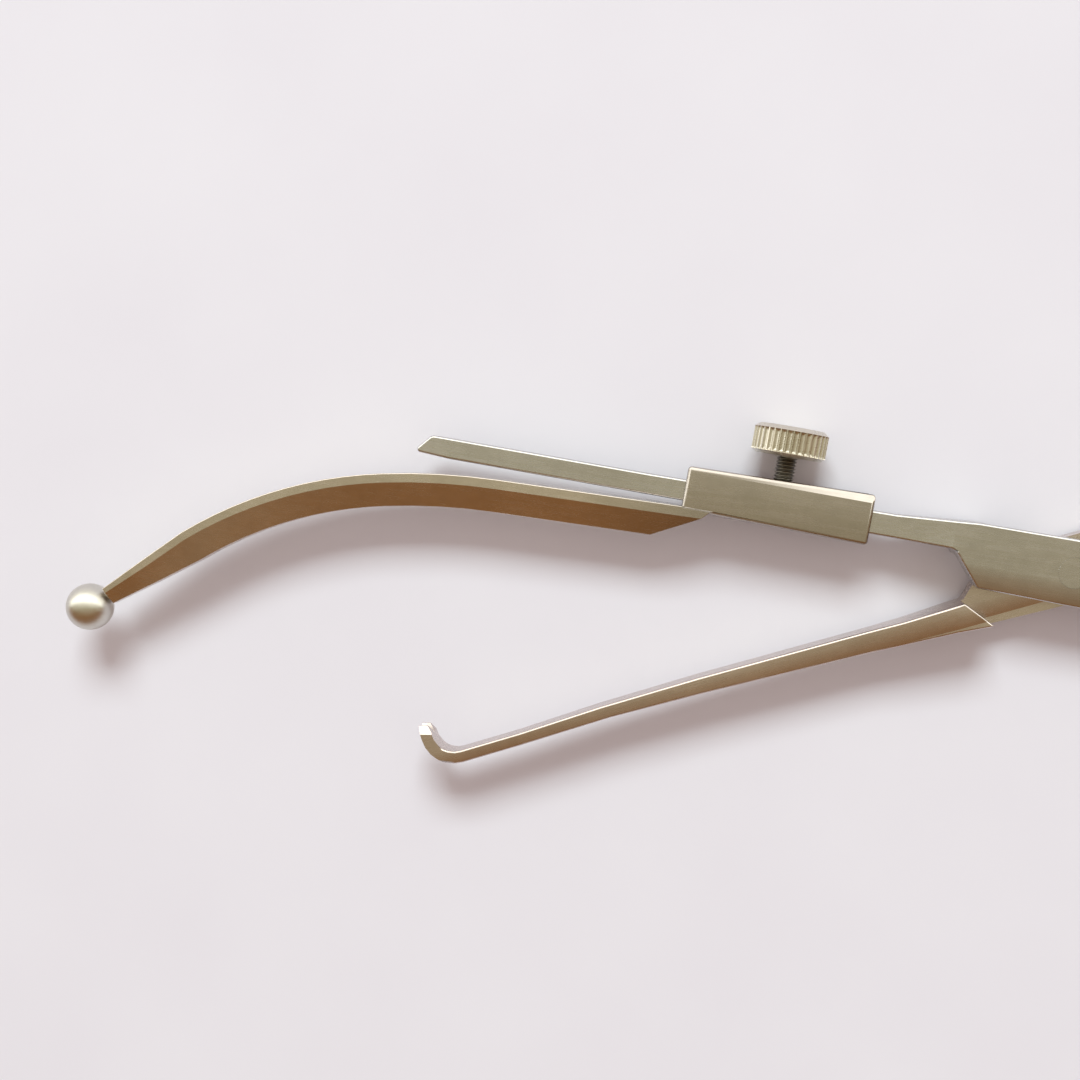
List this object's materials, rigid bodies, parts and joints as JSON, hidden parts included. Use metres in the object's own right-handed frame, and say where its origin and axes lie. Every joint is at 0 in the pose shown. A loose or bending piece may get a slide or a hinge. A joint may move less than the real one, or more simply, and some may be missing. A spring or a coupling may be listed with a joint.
{
  "type": "ball-and-claw holding forceps",
  "caption": "Long crossing-blade forceps: one jaw is a forked claw, the other a bar carrying a screw-clamped sliding arm that curves to a blunt ball tip.",
  "frame": {"origin": "on the pivot pin's axis, at the pin's flush lower face", "axes": "+X from the pivot towards the finger rings, halfway between the two blades; +Z along the pivot axis, from the rear blade to the front blade; +Y towards the bar jaw's side at the jaws"},
  "size_m": [0.269, 0.0958, 0.0109],
  "materials": {
    "satin_steel": "satin stainless steel with a faint warm cast",
    "polished_steel": "smooth, soft-polished stainless steel",
    "screw_steel": "turned and knurled steel"
  },
  "bodies": {
    "front_half": {"front_blade": "satin_steel", "pivot_pin": "satin_steel", "front_ratchet": "satin_steel"},
    "rear_half": {"rear_blade": "satin_steel", "rear_ratchet": "satin_steel"},
    "slider": {"slider_sleeve": "satin_steel", "ball_arm": "satin_steel", "ball_tip": "polished_steel"},
    "clamp_pad": {"pressure_pad": "screw_steel"},
    "clamp_knob": {"thumbscrew_head": "screw_steel", "thumbscrew_stem": "screw_steel"}
  },
  "joints": [
    {"name": "jaw_pivot", "type": "hinge", "parent": "front_half", "child": "rear_half", "pos_m": [0, 0, 0.0038], "axis": [0, 0, 1], "range_deg": [-15, 14]},
    {"name": "slider_slide", "type": "slide", "parent": "front_half", "child": "slider", "axis": [-0.9736, 0.2284, 0], "range_m": [-0.003, 0.035]},
    {"name": "clamp_travel", "type": "slide", "parent": "slider", "child": "clamp_pad", "axis": [0.2284, 0.9736, 0], "range_m": [0, 0.0015]},
    {"name": "knob_turn", "type": "hinge", "parent": "clamp_pad", "child": "clamp_knob", "pos_m": [-0.04167, 0.00977, 0.0038], "axis": [0.2284, 0.9736, 0], "range_deg": [0, 1081]}
  ],
  "couplings": [
    {"joint": "knob_turn", "follows": "clamp_travel", "rad_per_m": 12566}
  ]
}
